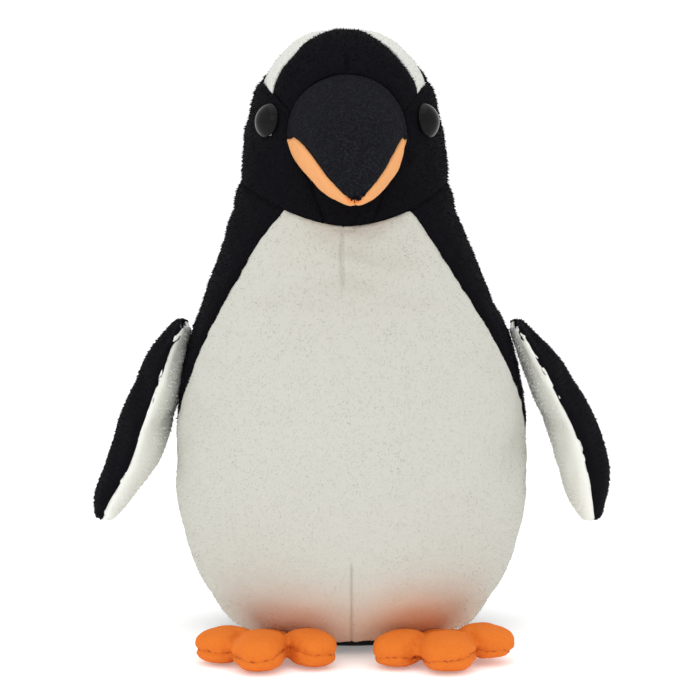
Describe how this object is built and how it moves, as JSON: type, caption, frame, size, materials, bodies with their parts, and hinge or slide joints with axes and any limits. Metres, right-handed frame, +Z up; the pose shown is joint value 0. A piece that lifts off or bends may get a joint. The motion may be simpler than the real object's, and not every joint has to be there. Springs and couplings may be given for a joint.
{
  "type": "plush penguin",
  "caption": "Standing stuffed penguin toy sewn from short-pile plush, with hinged flippers, feet and tail and a weighted flat base.",
  "frame": {"origin": "middle of the flat base, on the surface that the toy stands on", "axes": "+Z up, -Y the way the beak points, +X towards the toy's own left flipper"},
  "size_m": [0.2114, 0.1674, 0.2499],
  "materials": {
    "cream_plush": "short-pile plush, slightly warm white",
    "white_plush": "short-pile plush, white",
    "black_plush": "short-pile plush, black",
    "base_cloth": "flat woven cloth",
    "black_fleece": "short brushed fleece, black",
    "beak_fleece": "short brushed fleece, light orange",
    "orange_fleece": "short brushed fleece, orange",
    "stuffing": "loose polyester fibre",
    "bag_cloth": "thin woven bag",
    "pellets": "plastic granules",
    "eye_plastic": "polished black plastic",
    "washer_plastic": "moulded plastic"
  },
  "bodies": {
    "torso": {"belly_panel": "cream_plush", "back_panel_left": "black_plush", "back_panel_right": "black_plush", "base_panel": "base_cloth", "throat_panel": "black_plush", "cheek_left": "black_plush", "cheek_right": "black_plush", "forehead_gusset": "black_plush", "crown_band": "white_plush", "nape_gusset": "black_plush", "beak_top": "black_fleece", "beak_side_left": "beak_fleece", "beak_side_right": "beak_fleece", "body_filling": "stuffing", "head_filling": "stuffing", "beak_filling": "stuffing", "pellet_bag": "bag_cloth", "pellets": "pellets", "eye_left": "eye_plastic", "eye_right": "eye_plastic", "eye_washer_left": "washer_plastic", "eye_washer_right": "washer_plastic"},
    "flipper_left": {"flipper_outer_left": "black_plush", "flipper_inner_left": "cream_plush", "flipper_filling_left": "stuffing"},
    "flipper_right": {"flipper_outer_right": "black_plush", "flipper_inner_right": "cream_plush", "flipper_filling_right": "stuffing"},
    "foot_left": {"foot_upper_left": "orange_fleece", "foot_sole_left": "orange_fleece", "foot_filling_left": "stuffing"},
    "foot_right": {"foot_upper_right": "orange_fleece", "foot_sole_right": "orange_fleece", "foot_filling_right": "stuffing"},
    "tail": {"tail_upper": "black_plush", "tail_under": "black_plush", "tail_filling": "stuffing"}
  },
  "joints": [
    {"name": "flipper_left_flap", "type": "hinge", "parent": "torso", "child": "flipper_left", "pos_m": [0.0645, 0.002, 0.1315], "axis": [0, -1, 0], "range_deg": [0, 75], "stiffness_Nm_per_rad": 0.03},
    {"name": "flipper_right_flap", "type": "hinge", "parent": "torso", "child": "flipper_right", "pos_m": [-0.0645, 0.002, 0.1315], "axis": [0, 1, 0], "range_deg": [0, 75], "stiffness_Nm_per_rad": 0.03},
    {"name": "foot_left_lift", "type": "hinge", "parent": "torso", "child": "foot_left", "pos_m": [0.0345, -0.041, 0.0065], "axis": [-1, 0, 0], "range_deg": [-35, 12], "stiffness_Nm_per_rad": 0.05},
    {"name": "foot_right_lift", "type": "hinge", "parent": "torso", "child": "foot_right", "pos_m": [-0.0345, -0.041, 0.0065], "axis": [-1, 0, 0], "range_deg": [-35, 12], "stiffness_Nm_per_rad": 0.05},
    {"name": "tail_lift", "type": "hinge", "parent": "torso", "child": "tail", "pos_m": [0, 0.055, 0.018], "axis": [1, 0, 0], "range_deg": [-10, 30], "stiffness_Nm_per_rad": 0.03}
  ]
}
